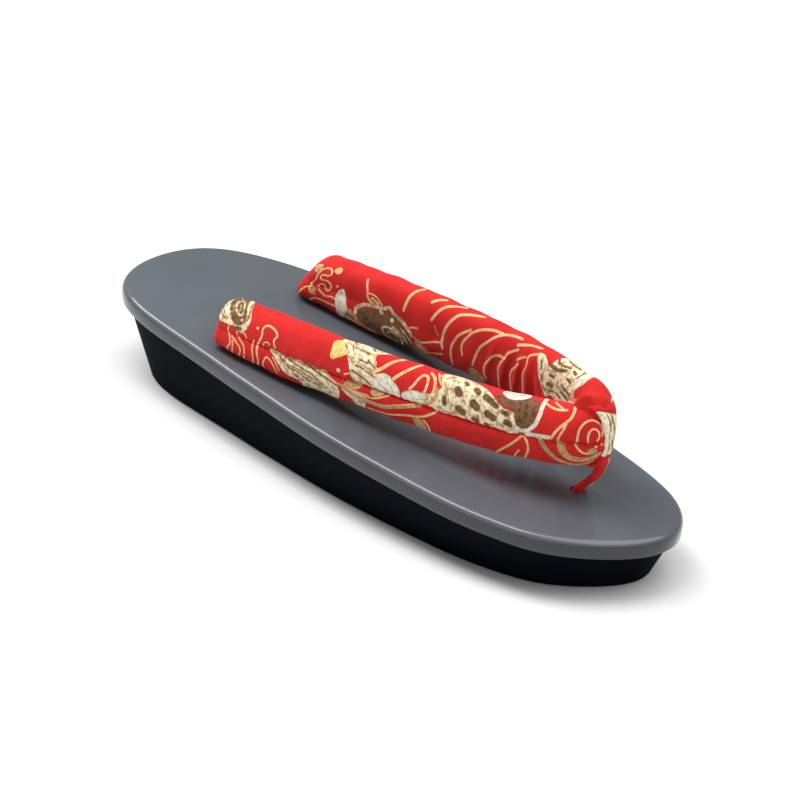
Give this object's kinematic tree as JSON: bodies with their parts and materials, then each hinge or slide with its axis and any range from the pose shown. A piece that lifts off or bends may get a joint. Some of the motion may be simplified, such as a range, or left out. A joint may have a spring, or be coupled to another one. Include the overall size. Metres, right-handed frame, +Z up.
{
  "type": "geta sandal",
  "caption": "Boat-shaped geta sandal: flat grey lacquered board on a tapered black sole, with a padded red V strap on edge and a front toe thong.",
  "frame": {"origin": "on the floor, in the middle of the board's width and length", "axes": "+Y from heel to toe, +X to the wearer's right, +Z up"},
  "size_m": [0.0918, 0.25, 0.0668],
  "materials": {
    "grey_board": "grey satin lacquer over a planed wooden board, with a glossy rounded rim",
    "black_sole": "smooth glossy black moulded foam rubber",
    "printed_cloth": "plain-woven red cotton with a cream, gold and brown print of scales, waves and swirls",
    "thong_cloth": "plain-woven red cotton with a cream edge"
  },
  "bodies": {
    "root": {"footbed": "grey_board", "sole_body": "black_sole", "strap": "printed_cloth", "front_thong": "thong_cloth"}
  },
  "joints": []
}
